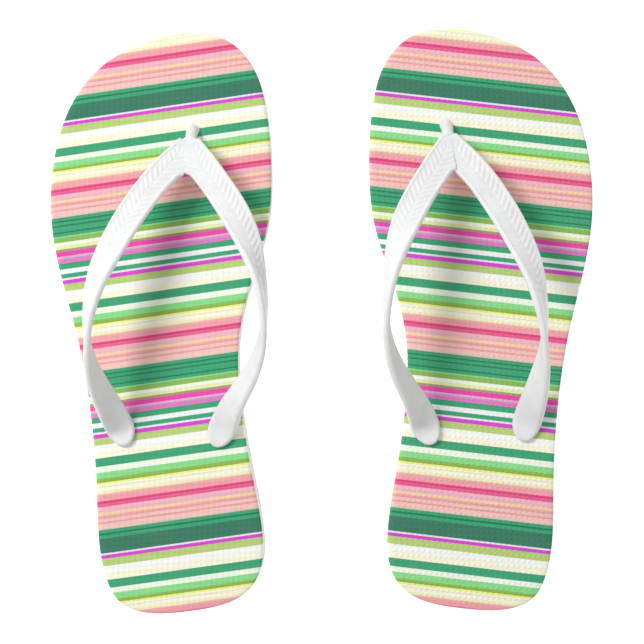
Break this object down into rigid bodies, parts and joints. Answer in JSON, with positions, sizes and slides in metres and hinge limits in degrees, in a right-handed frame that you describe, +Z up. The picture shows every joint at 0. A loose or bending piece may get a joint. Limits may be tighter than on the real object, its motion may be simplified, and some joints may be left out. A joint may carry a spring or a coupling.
{
  "type": "pair of flip flops",
  "caption": "Left and right thong flip flops: striped rice-textured footbeds on foam soles that bend at the ball of the foot, and white moulded Y-straps plugged through the soles.",
  "frame": {"origin": "on the floor midway between the two sandals, at the bottom centre of the pair's bounding box", "axes": "+X to the wearer's right, +Y from the heels to the toes, +Z up"},
  "size_m": [0.251, 0.2684, 0.0593],
  "materials": {
    "footbed_print": "printed stripes, rice-grain texture, matt",
    "midsole_foam": "closed-cell foam, matt",
    "outsole_rubber": "moulded, satin",
    "strap_rubber": "moulded, satin"
  },
  "bodies": {
    "right_sandal": {"right_footbed_rear": "footbed_print", "right_midsole_rear": "midsole_foam", "right_outsole_rear": "outsole_rubber", "right_strap": "strap_rubber"},
    "right_forefoot": {"right_footbed_front": "footbed_print", "right_midsole_front": "midsole_foam", "right_outsole_front": "outsole_rubber"},
    "left_sandal": {"left_footbed_rear": "footbed_print", "left_midsole_rear": "midsole_foam", "left_outsole_rear": "outsole_rubber", "left_strap": "strap_rubber"},
    "left_forefoot": {"left_footbed_front": "footbed_print", "left_midsole_front": "midsole_foam", "left_outsole_front": "outsole_rubber"}
  },
  "joints": [
    {"name": "right_toe_flex", "type": "hinge", "parent": "right_sandal", "child": "right_forefoot", "pos_m": [0.07229, 0.04314, 0.015], "axis": [0.9919, -0.1271, 0], "range_deg": [0, 50], "stiffness_Nm_per_rad": 1, "deforming": ["right_strap"]},
    {"name": "left_pick_up", "type": "slide", "parent": "right_sandal", "child": "left_sandal", "axis": [0, 0, 1], "range_m": [0, 0.1]},
    {"name": "left_toe_flex", "type": "hinge", "parent": "left_sandal", "child": "left_forefoot", "pos_m": [-0.07229, 0.04314, 0.015], "axis": [0.9919, 0.1271, 0], "range_deg": [0, 50], "stiffness_Nm_per_rad": 1, "deforming": ["left_strap"]}
  ]
}
